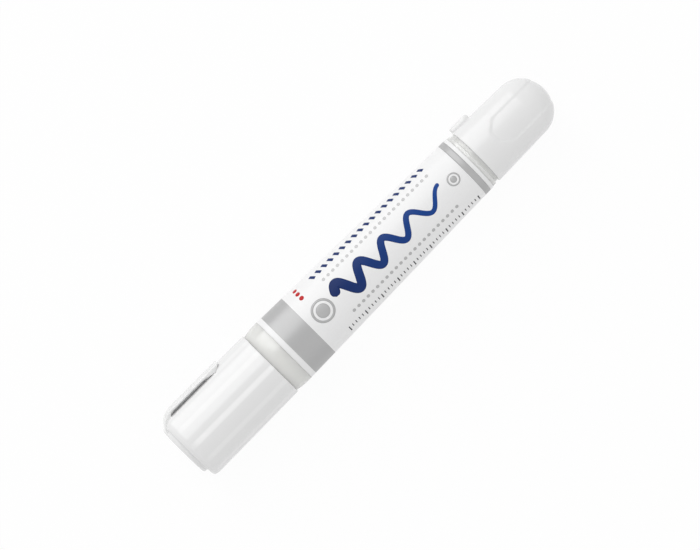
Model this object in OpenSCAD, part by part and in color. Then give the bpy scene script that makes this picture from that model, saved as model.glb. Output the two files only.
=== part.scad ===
// Double-ended valve marker, lying along X, thick nib toward -X and medium nib toward +X.
// Millimetres, +Z up, origin on the axis at the middle of the overall length.
// Each end is drawn in its own frame: u runs outward along the axis from the cap's mouth.

/* [Barrel] */
// Length of the barrel tube
barrel_len = 71.9; // [60:0.1:90]
// Outer radius of the tube at the thick end
barrel_thick_r = 10.42; // [9.9:0.02:11.2]
// Outer radius of the tube at the medium end
barrel_medium_r = 9.05; // [8.6:0.02:9.8]
// Wall of the tube
barrel_wall = 1.12; // [0.8:0.02:1.4]
// Thickness of the printed film round the tube
film_t = 0.12; // [0.08:0.01:0.2]
// Radius of the loose agitator ball
ball_r = 3; // [2:0.1:3.5]

/* [Thick end] */
// Length of the collar that shows between the barrel and the thick cap
thick_collar_len = 5.33; // [4:0.1:8]
// Largest radius of that collar
thick_collar_r = 10.6; // [10.4:0.02:11.2]
// Length of the neck inside the thick cap
thick_neck_len = 7; // [6:0.1:8]
// Length of the spigot pressed into the thick end of the barrel
thick_plug_len = 8; // [6:0.1:10]
// Distance from the cap's mouth to the end of the thick nose
thick_nose_end = 19; // [18:0.1:20]
// Radius of the sealing land on the thick nose
thick_land_r = 4.9; // [4.5:0.05:5.2]
// Radius of the thick nib
thick_nib_r = 3.2; // [2.8:0.05:3.5]
// How far the thick nib stands out of its nose
thick_nib_out = 6; // [4.5:0.1:6.4]

/* [Medium end] */
// Length of the collar that shows between the barrel and the medium cap
medium_collar_len = 2.35; // [2:0.05:5]
// Radius of that collar
medium_collar_r = 9; // [8.9:0.02:9.6]
// Length of the neck inside the medium cap
medium_neck_len = 5.5; // [5:0.1:6.5]
// Length of the spigot pressed into the medium end of the barrel
medium_plug_len = 8; // [6.4:0.1:10]
// Distance from the cap's mouth to the end of the medium nose
medium_nose_end = 14; // [13:0.1:14.5]
// Radius of the sealing land on the medium nose
medium_land_r = 3.6; // [3.2:0.05:3.8]
// Radius of the medium nib
medium_nib_r = 1.9; // [1.4:0.05:2.1]
// How far the medium nib stands out of its nose
medium_nib_out = 4; // [3:0.1:4.2]

/* [Thick cap] */
// Length of the thick cap without its end boss
thick_cap_len = 32.3; // [31:0.1:40]
// Outer radius at the closed end
thick_cap_end_r = 10.9; // [10.7:0.02:11.3]
// Outer radius at the mouth
thick_cap_mouth_r = 10.65; // [10.5:0.02:11]
// Radius of the boss on the closed end
boss_r = 8.08; // [7:0.05:8.6]
// Height of that boss
boss_h = 1.42; // [1:0.02:1.8]
// Distance of the flat under the clip from the axis
flat_off = 9.3; // [9.1:0.05:9.45]
// Distance of the clip's outer face from the axis
clip_off = 11; // [10.9:0.05:12]
// Thickness of the clip
clip_t = 0.9; // [0.8:0.05:1.15]
// Width of the clip
clip_w = 8; // [6:0.1:9]
// Distance of the clip's tip from the mouth
clip_tip_u = 9.88; // [9:0.1:12]
// How far the thick cap is turned about the axis, clip upward
cap_turn = 7; // [0:1:12]

/* [Medium cap] */
// Length of the medium cap
medium_cap_len = 26.4; // [25.4:0.05:28.5]
// Outer radius at the mouth
medium_cap_mouth_r = 9.14; // [9:0.02:9.5]
// Outer radius where the dome begins
medium_cap_dome_r = 8.72; // [8.5:0.02:9]
// Half width of the pinch panel that runs over the dome
panel_half_w = 4.3; // [3:0.1:5.5]
// Depth of that panel
panel_depth = 0.35; // [0.2:0.05:0.5]
// Distance from the mouth to the end of the panel
panel_u = 7; // [6.4:0.1:9]
// Height of the lug above the cap
lug_h = 1.28; // [0.8:0.02:1.6]
// Length of the lug
lug_len = 6.3; // [4:0.1:6.4]
// Width of the lug
lug_w = 4; // [3:0.1:6]

/* [Valve] */
// Radius of the valve chamber in both holders
valve_r = 4.6; // [4.4:0.05:4.8]
// Travel of each nib when it is pressed
nib_travel = 1.2; // [0.6:0.1:1.6]
// Radius of the hole that the stem closes
port_r = 1.5; // [1.3:0.05:1.8]
// Number of curls of each valve spring
spring_turns = 5; // [4:1:6]
// Radius of the spring wire
wire_r = 0.25; // [0.2:0.01:0.3]

/* [Hidden] */
$fn = 96;

// Fits: pressed pieces, sliding pieces, the push fit of the caps, and resting faces.
press_gap = 0.02;
slide_gap = 0.1;
cap_gap = 0.25;
rest_gap = 0.02;

// Overall stack along X
total_len = thick_cap_len + boss_h + thick_collar_len + barrel_len + medium_collar_len + medium_cap_len;
x_thick_mouth = -total_len/2 + boss_h + thick_cap_len;
x_thick_face = x_thick_mouth + thick_collar_len;
x_medium_face = x_thick_face + barrel_len;
x_medium_mouth = x_medium_face + medium_collar_len;

// Holders
thick_plug_r = barrel_thick_r - barrel_wall - press_gap;
medium_plug_r = barrel_medium_r - barrel_wall - press_gap;
cap_wall = 1.1;
thick_bore_r = thick_cap_mouth_r - cap_wall;
medium_bore_r = medium_cap_mouth_r - cap_wall;
thick_neck_r = thick_bore_r - cap_gap;
medium_neck_r = medium_bore_r - cap_gap + 0.05;
bead_h = 0.13;

// Valve levels, the same in both ends
gasket_t = 0.6;
seat_t = 2.5;
gasket_u = seat_t + gasket_t;
stem_front_u = gasket_u + nib_travel + 1.7;
head_r = 2.6;
head_t = 1;
rod_r = 1;
tail_r = 0.9;
cage_back_u = -9;
cage_floor_t = 1.2;
cage_wall = 0.85;
housing_r = valve_r + 1;
housing_back_u = cage_back_u - 0.3;

// Springs
coil_r = 1.95;
spring_top_u = -head_t - 0.06;
spring_low_u = cage_back_u + cage_floor_t + 0.06;

// Thick cap
thick_end_t = 1.5;
thick_inner_u = thick_cap_len - thick_end_t;
flat_wall = 1.05;
clip_in = clip_off - clip_t;
clip_bend_r = 6;
clip_nub_y = min(flat_off + 0.3, clip_in - 0.2);
tip_run = 2.75;
slit_root_u = thick_cap_len - 3.1;

// Liners
liner_wall = 1.05;
liner_floor = 1;
thick_liner_r = thick_land_r + slide_gap;
medium_liner_r = medium_land_r + slide_gap;
thick_liner_back = thick_inner_u - rest_gap;
medium_inner_u = medium_cap_len - 2.75;
medium_liner_back = medium_inner_u - rest_gap;

// Medium dome: a corner arc that runs into a crown arc
dome_corner_r = medium_cap_dome_r - 0.72;
dome_crown_r = medium_cap_dome_r + 0.28;

// Node to build

cap_colour = [0.93, 0.93, 0.93];
natural_colour = [0.84, 0.85, 0.82];
tube_colour = [0.88, 0.88, 0.87];
film_colour = [0.93, 0.93, 0.94];
fibre_colour = [0.95, 0.94, 0.92];
valve_colour = [0.9, 0.9, 0.88];
seal_colour = [0.25, 0.25, 0.26];
steel_colour = [0.7, 0.71, 0.73];

// Places a child drawn in the thick end's frame
module at_thick() {
    translate([x_thick_mouth, 0, 0]) rotate([0, -90, 0]) children();
}

// Places a child drawn in the medium end's frame
module at_medium() {
    translate([x_medium_mouth, 0, 0]) rotate([0, 90, 0]) children();
}

// Points of an elliptical arc about (c, u) with half axes a and b
function arc(c, u, a, b, from, to, steps) =
    [for (i = [0:steps]) let (q = from + (to - from)*i/steps) [c + a*cos(q), u + b*sin(q)]];

// Ring turned about the axis, from an inner to an outer radius
module ring(inner, outer, low, high) {
    rotate_extrude() polygon([[inner, low], [outer, low], [outer, high], [inner, high]]);
}

// Barrel: a tapered tube with a straight socket at each end for a holder's spigot
module barrel() {
    socket_thick = barrel_thick_r - barrel_wall;
    socket_medium = barrel_medium_r - barrel_wall;
    low = thick_plug_len + 0.3;
    high = barrel_len - medium_plug_len - 0.3;
    color(tube_colour)
    translate([x_thick_face, 0, 0]) rotate([0, 90, 0]) rotate_extrude() polygon([
        [socket_thick, 0], [barrel_thick_r, 0], [barrel_medium_r, barrel_len], [socket_medium, barrel_len],
        [socket_medium, high], [socket_thick - 0.2, low], [socket_thick, low]]);
}

// Printed film shrunk round the barrel
module label_film() {
    low = 0.05;
    high = barrel_len - 0.05;
    gap = 0.01;
    color(film_colour)
    translate([x_thick_face, 0, 0]) rotate([0, 90, 0]) rotate_extrude() polygon([
        [barrel_thick_r + gap, low], [barrel_thick_r + gap + film_t, low],
        [barrel_medium_r + gap + film_t, high], [barrel_medium_r + gap, high]]);
}

// Loose steel ball that stirs the paint, lying on the bore near the thick end
module agitator_ball() {
    low = thick_plug_len + 0.3;
    high = barrel_len - medium_plug_len - 0.3;
    bore_low = barrel_thick_r - barrel_wall - 0.2;
    slope = atan((bore_low - barrel_medium_r + barrel_wall)/(high - low));
    along = low + ball_r + 1;
    bore_here = bore_low - (along - low)*tan(slope);
    color(steel_colour)
    translate([x_thick_face + along, 0, -bore_here + (ball_r + 0.15)/cos(slope)]) sphere(r = ball_r);
}

// Holder moulding: spigot, visible collar, neck, cone and nose in one turned shape
module holder(outline, plug_r, neck_r, collar_len, plug_len, neck_len, nib_r, nose_end) {
    back = -collar_len - plug_len;
    skirt_r = min(plug_r, neck_r) - 1.1;
    pocket_u = neck_len - 1.6;
    bore_r = nib_r + slide_gap;
    rotate_extrude() polygon(concat(outline, [
        [bore_r, nose_end], [bore_r, gasket_u], [valve_r, gasket_u], [valve_r, housing_back_u],
        [housing_r, housing_back_u], [housing_r, pocket_u], [skirt_r, pocket_u], [skirt_r, back]]));
}

// Thick holder
module thick_nib_holder() {
    back = -thick_collar_len - thick_plug_len;
    top = -0.75*thick_collar_len;
    swell = [for (i = [1:8]) let (u = top - top*i/8)
        [thick_collar_r - 0.42*pow(i/8, 2), u]];
    cone_r = thick_neck_r - 1.4;
    cone_end_u = thick_nose_end - 5;
    outline = concat(
        [[thick_plug_r - 0.4, back], [thick_plug_r, back + 0.8], [thick_plug_r, -thick_collar_len],
         [thick_collar_r - 0.12, -thick_collar_len], [thick_collar_r, -thick_collar_len + 0.25],
         [thick_collar_r, top]],
        swell,
        [[thick_neck_r, 0], [thick_neck_r, 2.2], [thick_neck_r + bead_h, 2.5], [thick_neck_r + bead_h, 3.1],
         [thick_neck_r, 3.4], [thick_neck_r, thick_neck_len - 0.5], [thick_neck_r - 0.5, thick_neck_len],
         [cone_r, thick_neck_len], [thick_land_r + 0.25, cone_end_u], [thick_land_r, cone_end_u + 0.3],
         [thick_land_r, thick_nose_end - 0.4], [thick_land_r - 0.4, thick_nose_end]]);
    color(natural_colour) at_thick()
    holder(outline, thick_plug_r, thick_neck_r, thick_collar_len, thick_plug_len, thick_neck_len,
        thick_nib_r, thick_nose_end);
}

// Medium holder, with a shadow groove next to the cap
module medium_nib_holder() {
    back = -medium_collar_len - medium_plug_len;
    groove_u = -0.5*medium_collar_len;
    cone_r = medium_neck_r - 1.4;
    cone_end_u = medium_nose_end - 3;
    outline = [
        [medium_plug_r - 0.4, back], [medium_plug_r, back + 0.8], [medium_plug_r, -medium_collar_len],
        [medium_collar_r - 0.12, -medium_collar_len], [medium_collar_r, -medium_collar_len + 0.2],
        [medium_collar_r, groove_u - 0.2], [medium_collar_r - 0.15, groove_u],
        [medium_collar_r - 0.45, groove_u], [medium_collar_r - 0.45, 0],
        [medium_neck_r, 0], [medium_neck_r, 1.8], [medium_neck_r + bead_h, 2.1],
        [medium_neck_r + bead_h, 2.7], [medium_neck_r, 3], [medium_neck_r, medium_neck_len - 0.5],
        [medium_neck_r - 0.5, medium_neck_len], [cone_r, medium_neck_len],
        [medium_land_r + 0.25, cone_end_u], [medium_land_r, cone_end_u + 0.3],
        [medium_land_r, medium_nose_end - 0.4], [medium_land_r - 0.4, medium_nose_end]];
    color(natural_colour) at_medium()
    holder(outline, medium_plug_r, medium_neck_r, medium_collar_len, medium_plug_len, medium_neck_len,
        medium_nib_r, medium_nose_end);
}

// Thick nib: a round fibre rod cut to a slanted chisel
module thick_nib() {
    tip_u = thick_nose_end + thick_nib_out;
    edge = 0.8;
    run = 3.4;
    slant = 1.6;
    wide = thick_nib_r + 1;
    low = stem_front_u - 1;
    color(fibre_colour) at_thick()
    intersection() {
        rotate_extrude() polygon([
            [0, stem_front_u], [thick_nib_r - 0.5, stem_front_u], [thick_nib_r, stem_front_u + 0.5],
            [thick_nib_r, tip_u + 1], [0, tip_u + 1]]);
        translate([0, wide, 0]) rotate([90, 0, 0]) linear_extrude(2*wide) polygon([
            [-wide, low], [wide, low], [wide, tip_u - run*(wide - edge)/(thick_nib_r - edge)],
            [edge, tip_u], [-edge, tip_u], [-wide, tip_u - run*(wide - edge)/(thick_nib_r - edge)]]);
        translate([-wide, 0, 0]) rotate([90, 0, 90]) linear_extrude(2*wide) polygon([
            [-wide, low], [wide, low], [wide, tip_u],
            [thick_nib_r, tip_u], [-thick_nib_r, tip_u - slant], [-wide, tip_u - slant]]);
    }
}

// Medium nib: a round fibre rod with a bullet end
module medium_nib() {
    tip_u = medium_nose_end + medium_nib_out;
    round_b = 2.6;
    color(fibre_colour) at_medium() rotate_extrude() polygon(concat(
        [[0, stem_front_u], [medium_nib_r - 0.3, stem_front_u], [medium_nib_r, stem_front_u + 0.3]],
        arc(0, tip_u - round_b, medium_nib_r, round_b, 0, 90, 9)));
}

// Soft gasket between the seat and the holder
module gasket() {
    color(seal_colour) ring(port_r, valve_r - press_gap, seat_t, gasket_u);
}

// Hard seat whose hole the stem closes from behind
module seat() {
    color(valve_colour) rotate_extrude() polygon([
        [port_r, 0], [valve_r - press_gap, 0], [valve_r - press_gap, seat_t], [port_r + 0.6, seat_t],
        [port_r, seat_t - 0.6]]);
}

// Stem: rod to the nib, closing head and tail that runs in the cage
module stem() {
    color(valve_colour) rotate_extrude() polygon([
        [0, cage_back_u + 0.5], [tail_r - 0.2, cage_back_u + 0.5], [tail_r, cage_back_u + 0.7],
        [tail_r, -head_t], [head_r, -head_t], [head_r, 0], [rod_r + 0.25, 0], [rod_r, 0.5],
        [rod_r, stem_front_u], [0, stem_front_u]]);
}

// Cage: a cup with four paint ports in its floor and the hole that guides the stem
module cage() {
    outer = valve_r - press_gap;
    color(valve_colour) difference() {
        rotate_extrude() polygon([
            [tail_r + slide_gap, cage_back_u], [outer - 0.3, cage_back_u], [outer, cage_back_u + 0.3], [outer, 0],
            [outer - cage_wall, 0], [outer - cage_wall, cage_back_u + cage_floor_t],
            [tail_r + slide_gap, cage_back_u + cage_floor_t]]);
        for (q = [45:90:315]) rotate([0, 0, q]) translate([coil_r + 0.95, 0, cage_back_u - 1])
            cylinder(r = 0.6, h = cage_floor_t + 2);
    }
}

// Spring: one round wire wound round the stem's tail, as rings of points joined in order
spring_rings = 8*spring_turns;
spring_rise = spring_top_u - spring_low_u - 2*wire_r;
function coil_point(i) = let (q = 360*i/8)
    [coil_r*cos(q), coil_r*sin(q), spring_low_u + wire_r + spring_rise*i/spring_rings];
spring_points = [for (i = [0:spring_rings], k = [0:5]) let (q = 360*i/8, c = coil_point(i), w = 60*k)
    [c[0] + wire_r*cos(w)*cos(q), c[1] + wire_r*cos(w)*sin(q), c[2] + wire_r*sin(w)]];
spring_faces = concat(
    [[5, 4, 3, 2, 1, 0]],
    [for (i = [0:spring_rings - 1], k = [0:5]) let (n = (k + 1)%6)
        each [[i*6 + k, i*6 + n, i*6 + 6 + n], [i*6 + k, i*6 + 6 + n, i*6 + 6 + k]]],
    [[for (k = [0:5]) spring_rings*6 + k]]);
coil_gap = min([for (i = [0:spring_rings - 5], j = [i + 5:min(i + 11, spring_rings)])
    norm(coil_point(j) - coil_point(i))]) - 2*wire_r;
echo(coil_gap_mm = coil_gap);

module spring() {
    color(steel_colour) polyhedron(points = spring_points, faces = spring_faces, convexity = 6);
}

// Inner cup of a cap, closed at its far end, that seals on the holder's nose
module liner(inner, low, back) {
    color(valve_colour) rotate_extrude() polygon([
        [0, back], [inner + liner_wall - 0.3, back], [inner + liner_wall, back - 0.3],
        [inner + liner_wall, low + 0.5], [inner + liner_wall - 0.5, low], [inner + 0.25, low],
        [inner, low + 0.4], [inner, back - liner_floor], [0, back - liner_floor]]);
}

module thick_valve_gasket() { at_thick() gasket(); }
module thick_valve_seat() { at_thick() seat(); }
module thick_valve_stem() { at_thick() stem(); }
module thick_valve_spring() { at_thick() spring(); }
module thick_valve_cage() { at_thick() cage(); }
module thick_cap_liner() { at_thick() liner(thick_liner_r, thick_nose_end - 3.5, thick_liner_back); }
module medium_valve_gasket() { at_medium() gasket(); }
module medium_valve_seat() { at_medium() seat(); }
module medium_valve_stem() { at_medium() stem(); }
module medium_valve_spring() { at_medium() spring(); }
module medium_valve_cage() { at_medium() cage(); }
module medium_cap_liner() { at_medium() liner(medium_liner_r, medium_nose_end - 2.4, medium_liner_back); }

// Side outline of the clip: strap over the shoulder, bar, and nub at the tip
module clip_outline() {
    top = thick_cap_len + boss_h;
    bend_y = clip_off - clip_bend_r;
    bend_u = top - clip_bend_r;
    polygon(concat(
        [[boss_r - 3, top]],
        arc(bend_y, bend_u, clip_bend_r, clip_bend_r, 90, 0, 8),
        [[clip_off, clip_tip_u + 0.3], [clip_off - 0.25, clip_tip_u], [clip_nub_y, clip_tip_u + tip_run],
         [clip_nub_y, clip_tip_u + tip_run + 0.5], [clip_in, clip_tip_u + tip_run + 2.2],
         [clip_in, slit_root_u - 0.9], [clip_in - 0.4, slit_root_u - 0.4], [flat_off - 0.5, slit_root_u + 0.1],
         [boss_r - 3, thick_cap_len - 1]]));
}

// What is cut from the cap under the clip: a flat, a ramp at the tip, a rounded shoulder
module clip_recess() {
    slope = tip_run/(clip_off - clip_nub_y);
    ramp_u = clip_tip_u + tip_run - 0.45;
    polygon(concat(
        [[flat_off, ramp_u], [flat_off + 4, ramp_u - 4*slope], [flat_off + 4, thick_cap_len + 1],
         [flat_off - 2.1, thick_cap_len + 1]],
        arc(flat_off - 2.1, thick_cap_len - 2.6, 2.1, 2.6, 90, 0, 6)));
}

// Thick cap with its end boss, clip and inner socket for the liner, in one moulding
module thick_cap() {
    socket_r = thick_liner_r + liner_wall + press_gap;
    ledge_u = thick_neck_len + 1.5;
    cavity_r = thick_bore_r - 0.1;
    color(cap_colour) at_thick() rotate([0, 0, -cap_turn])
    difference() {
        union() {
            difference() {
                rotate_extrude() polygon(concat(
                    [[0, 0], [thick_cap_mouth_r - 0.2, 0], [thick_cap_mouth_r, 0.25]],
                    arc(thick_cap_end_r - 0.95, thick_cap_len - 1.9, 0.95, 1.9, 0, 90, 7),
                    [[0, thick_cap_len]]));
                translate([-14, 0, 0]) rotate([90, 0, 90]) linear_extrude(28) clip_recess();
            }
            translate([-clip_w/2, 0, 0]) rotate([90, 0, 90]) linear_extrude(clip_w) clip_outline();
            rotate_extrude() polygon(concat(
                [[0, thick_cap_len - 0.5], [boss_r, thick_cap_len - 0.5]],
                arc(boss_r - 0.7, thick_cap_len + boss_h - 0.7, 0.7, 0.7, 0, 90, 4),
                [[0, thick_cap_len + boss_h]]));
        }
        translate([0, 0, -1]) cylinder(r = thick_bore_r, h = ledge_u + 1);
        difference() {
            translate([0, 0, ledge_u - 0.5]) cylinder(r = cavity_r, h = thick_inner_u - ledge_u + 0.5);
            translate([-12, flat_off - flat_wall, ledge_u - 1]) cube([24, 8, thick_cap_len]);
            ring(socket_r, socket_r + 1, thick_inner_u - 4.6, thick_inner_u + 1);
        }
    }
}

// Outer outline of the medium cap, drawn smaller by the given inset
function dome_outline(inset) = let (
    c = medium_cap_dome_r - dome_corner_r,
    crown_u = medium_cap_len + panel_depth - dome_crown_r,
    corner_u = crown_u + sqrt(pow(dome_crown_r - dome_corner_r, 2) - c*c),
    turn = atan2(corner_u - crown_u, c))
    concat(
        arc(c, corner_u, dome_corner_r - inset, dome_corner_r - inset, 0, turn, 7),
        [for (i = [1:5]) let (q = turn + (90 - turn)*i/5)
            [i == 5 ? 0 : (dome_crown_r - inset)*cos(q), crown_u + (dome_crown_r - inset)*sin(q)]]);

// Medium cap: tapered, domed, with a shallow pinch panel over the dome and a lug at the mouth
module medium_cap() {
    socket_r = medium_liner_r + liner_wall + press_gap;
    ledge_u = medium_neck_len + 1.5;
    cavity_r = medium_bore_r - 0.7;
    lug_top = medium_cap_mouth_r + lug_h;
    color(cap_colour) at_medium()
    difference() {
        union() {
            difference() {
                rotate_extrude() polygon(concat(
                    [[0, 0], [medium_cap_mouth_r - 0.2, 0], [medium_cap_mouth_r, 0.25]], dome_outline(0)));
                difference() {
                    translate([-14, 0, 0]) rotate([90, 0, 90]) linear_extrude(28) polygon([
                        [-panel_half_w + 2.4, panel_u], [panel_half_w - 2.4, panel_u],
                        [panel_half_w, panel_u + 3], [panel_half_w, medium_cap_len + 3],
                        [-panel_half_w, medium_cap_len + 3], [-panel_half_w, panel_u + 3]]);
                    rotate_extrude() polygon(concat(
                        [[0, -1], [medium_cap_mouth_r - panel_depth, -1]], dome_outline(panel_depth)));
                }
            }
            translate([-lug_w/2, 0, 0]) rotate([90, 0, 90]) linear_extrude(lug_w) polygon(concat(
                [[medium_bore_r + 0.4, 0.05], [lug_top - 0.3, 0.05], [lug_top, 0.35]],
                arc(lug_top - 0.8, lug_len - 0.8, 0.8, 0.8, 0, 90, 4),
                [[medium_bore_r + 0.4, lug_len]]));
        }
        rotate_extrude() polygon([
            [0, -1], [medium_bore_r, -1], [medium_bore_r, ledge_u], [cavity_r, ledge_u + 0.7],
            [cavity_r, medium_inner_u - 9], [socket_r + 0.3, medium_inner_u - 4.4],
            [socket_r, medium_inner_u - 4], [socket_r, medium_inner_u], [0, medium_inner_u]]);
    }
}

barrel();
label_film();
agitator_ball();
thick_nib_holder();
thick_nib();
thick_valve_gasket();
thick_valve_seat();
thick_valve_stem();
thick_valve_spring();
thick_valve_cage();
thick_cap();
thick_cap_liner();
medium_nib_holder();
medium_nib();
medium_valve_gasket();
medium_valve_seat();
medium_valve_stem();
medium_valve_spring();
medium_valve_cage();
medium_cap();
medium_cap_liner();
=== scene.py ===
import math

import bmesh
import bpy
import numpy as np
from mathutils import Matrix, Vector


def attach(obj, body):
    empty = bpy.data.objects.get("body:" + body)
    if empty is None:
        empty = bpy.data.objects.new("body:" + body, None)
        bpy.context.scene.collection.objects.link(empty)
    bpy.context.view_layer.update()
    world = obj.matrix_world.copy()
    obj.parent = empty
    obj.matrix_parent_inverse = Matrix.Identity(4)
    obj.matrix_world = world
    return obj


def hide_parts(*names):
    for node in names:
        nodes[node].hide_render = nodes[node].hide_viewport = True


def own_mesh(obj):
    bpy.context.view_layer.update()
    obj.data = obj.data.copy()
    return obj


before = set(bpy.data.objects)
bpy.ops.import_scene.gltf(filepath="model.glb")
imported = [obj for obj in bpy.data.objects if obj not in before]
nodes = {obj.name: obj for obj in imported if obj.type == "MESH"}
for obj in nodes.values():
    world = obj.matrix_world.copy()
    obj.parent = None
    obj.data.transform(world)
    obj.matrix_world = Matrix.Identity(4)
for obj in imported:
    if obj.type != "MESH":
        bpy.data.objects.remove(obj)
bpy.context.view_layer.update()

# Barrel
# The paint tube, moulded in white plastic with a light taper. The printed film covers all of its
# outside and the two holders close its ends, so it stays the CAD solid with a satin plastic finish.
mm = 0.001


def fill(tree, node, inputs):
    """Sets inputs of a node: a socket is linked, anything else is a plain value."""
    for key, value in inputs.items():
        if isinstance(value, bpy.types.NodeSocket):
            tree.links.new(value, node.inputs[key])
        else:
            node.inputs[key].default_value = value


def add(tree, kind, inputs=(), **settings):
    """New node of a tree with its settings and inputs."""
    node = tree.nodes.new(kind)
    for key, value in settings.items():
        setattr(node, key, value)
    fill(tree, node, dict(inputs))
    return node


def blank_material(name):
    """New material, its node tree and its shader."""
    material = bpy.data.materials.new(name)
    material.use_nodes = True
    return material, material.node_tree, material.node_tree.nodes["Principled BSDF"]


def own_place(tree):
    """Place on the piece in its own coordinates."""
    return add(tree, "ShaderNodeTexCoord").outputs["Object"]


def noise(tree, place, scale, detail):
    """Soft random drift over a place."""
    return add(tree, "ShaderNodeTexNoise", {"Vector": place, "Scale": scale, "Detail": detail}).outputs["Fac"]


def ranged(tree, value, low, high):
    """Value from 0 to 1 moved to another range."""
    return add(tree, "ShaderNodeMapRange", {"Value": value, "To Min": low, "To Max": high}).outputs["Result"]


def two_tone(tree, share, colour, low, high):
    """Colour that drifts between a darker and a lighter tone of itself."""
    dark = (*[c * low for c in colour], 1.0)
    light = (*[min(1.0, c * high) for c in colour], 1.0)
    tones = {"A": dark, "B": light, "Factor": share}
    return add(tree, "ShaderNodeMix", tones, data_type="RGBA").outputs["Result"]


def bumped(tree, height, strength, depth):
    """Surface direction over small bumps of a depth in millimetres."""
    bumps = {"Height": height, "Strength": strength, "Distance": depth * mm}
    return add(tree, "ShaderNodeBump", bumps).outputs["Normal"]


def moulded_plastic(name, colour, roughness, mottle=0.03, skin=0.004, glow=0.0, shine=0.5):
    """Moulded plastic: the colour and gloss drift slightly, and the skin has a faint ripple from the tool."""
    material, tree, shader = blank_material(name)
    place = own_place(tree)
    drift = noise(tree, place, scale=160.0, detail=3.0)
    ripple = noise(tree, place, scale=700.0, detail=2.0)
    fill(tree, shader, {
        "IOR": 1.49,
        "Specular IOR Level": shine,
        "Base Color": two_tone(tree, drift, colour, low=1.0 - mottle, high=1.0),
        "Roughness": ranged(tree, drift, low=roughness * 0.9, high=roughness * 1.1),
        "Normal": bumped(tree, ripple, strength=0.6, depth=skin),
    })
    if glow:
        fill(tree, shader, {
            "Subsurface Weight": glow,
            "Subsurface Radius": (1.0, 1.0, 0.97),
            "Subsurface Scale": 4.0 * mm,
        })
    return material


def dress(node, material):
    """Gives a CAD node its finished material and leaves its mesh as it is."""
    piece = nodes[node]
    for holder in piece.material_slots:
        holder.material = material
    if not piece.material_slots:
        piece.data.materials.append(material)


tube_white = moulded_plastic("tube_white_plastic", (0.80, 0.80, 0.79), 0.42)
dress("barrel", tube_white)

# Printed film
# A thin glossy-satin film shrunk round the barrel from collar to collar, white with a broad grey band at
# the thick end and a narrow one at the medium end. Its own edge shows as a hair line at each collar.
film_low_x = -30.79
film_high_x = 41.09
film_low_r = 10.55
film_high_r = 9.18
film_slope = (film_high_r - film_low_r) / (film_high_x - film_low_x)
film_t = 0.12
film_lap = 0.005
film_edge = 0.04
film_end_len = 1.6
film_around = 240
ink_lift = 0.02
broad_band = (-29.15, -21.45)
narrow_band = (38.05, 39.97)


def film_radius(x):
    """Radius of the film's cone at x along the axis."""
    return film_low_r + film_slope * (x - film_low_x)


def rounded(corners, steps=4):
    """Outline through (radius, place, round) corners, each round a small arc held straight beside it."""
    most_share = 0.45
    hold_len = 0.06
    hold_share = 0.1
    points = [np.array(corner[:2], dtype=float) for corner in corners]
    out = [tuple(points[0])]
    for i in range(1, len(corners) - 1):
        p = points[i]
        radius = corners[i][2]
        if radius <= 0:
            out.append(tuple(p))
            continue
        a = points[i - 1] - p
        b = points[i + 1] - p
        la = np.linalg.norm(a)
        lb = np.linalg.norm(b)
        a = a / la
        b = b / lb
        half = math.acos(max(-1.0, min(1.0, float(a @ b)))) / 2
        cut = min(radius / math.tan(half), most_share * la, most_share * lb)
        radius = cut * math.tan(half)
        centre = p + (a + b) / np.linalg.norm(a + b) * radius / math.sin(half)
        start = p + a * cut
        end = p + b * cut
        out.append(tuple(start + a * min(hold_len, hold_share * la)))
        v0 = start - centre
        v1 = end - centre
        turn = math.atan2(v0[0] * v1[1] - v0[1] * v1[0], float(v0 @ v1))
        for k in range(steps + 1):
            q = turn * k / steps
            out.append((centre[0] + v0[0] * math.cos(q) - v0[1] * math.sin(q),
                        centre[1] + v0[0] * math.sin(q) + v0[1] * math.cos(q)))
        out.append(tuple(end + b * min(hold_len, hold_share * lb)))
    out.append(tuple(points[-1]))
    return out


def grid_mesh(name, rows, closed):
    """Skin over rows of points in millimetres, each once round; closed joins the last row to the first."""
    rows = np.asarray(rows, dtype=float) * mm
    count, around = rows.shape[:2]
    faces = []
    for i in range(count if closed else count - 1):
        n = (i + 1) % count
        for j in range(around):
            k = (j + 1) % around
            faces.append((i * around + j, i * around + k, n * around + k, n * around + j))
    mesh = bpy.data.meshes.new(name)
    mesh.from_pydata(rows.reshape(-1, 3).tolist(), [], faces)
    shell = bmesh.new()
    shell.from_mesh(mesh)
    bmesh.ops.remove_doubles(shell, verts=shell.verts, dist=2e-8)
    bmesh.ops.dissolve_degenerate(shell, dist=1e-8, edges=shell.edges)
    bmesh.ops.recalc_face_normals(shell, faces=shell.faces)
    shell.to_mesh(mesh)
    shell.free()
    mesh.update()
    return mesh


def turned(outline, around):
    """Rows of points for an outline of (radius, x) pairs turned about the X axis."""
    q = np.linspace(0.0, 2 * math.pi, around, endpoint=False)
    return [np.stack([np.full(around, x), r * np.cos(q), r * np.sin(q)], axis=1) for r, x in outline]


def placed(name, data):
    """New object in the scene."""
    made = bpy.data.objects.new(name, data)
    bpy.context.scene.collection.objects.link(made)
    return made


def baked(piece, name):
    """Plain mesh of an object as its modifiers leave it."""
    bpy.context.view_layer.update()
    mesh = bpy.data.meshes.new_from_object(piece.evaluated_get(bpy.context.evaluated_depsgraph_get()))
    mesh.name = name
    return mesh


def piece_from(name, mesh, material, body, record_slot, *stands_for):
    """Puts a finished mesh in the scene with even shading and hangs it on its CAD body."""
    piece = placed(name, mesh)
    for face in mesh.polygons:
        face.use_smooth = True
    mesh.materials.append(material)
    evened = piece.modifiers.new("Even shading", "WEIGHTED_NORMAL")
    evened.mode = "FACE_AREA_WITH_ANGLE"
    evened.weight = 60
    evened.keep_sharp = True
    finished = baked(piece, name)
    piece.modifiers.clear()
    piece.data = finished
    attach(piece, body)
    if stands_for:
        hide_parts(*stands_for)


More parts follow.
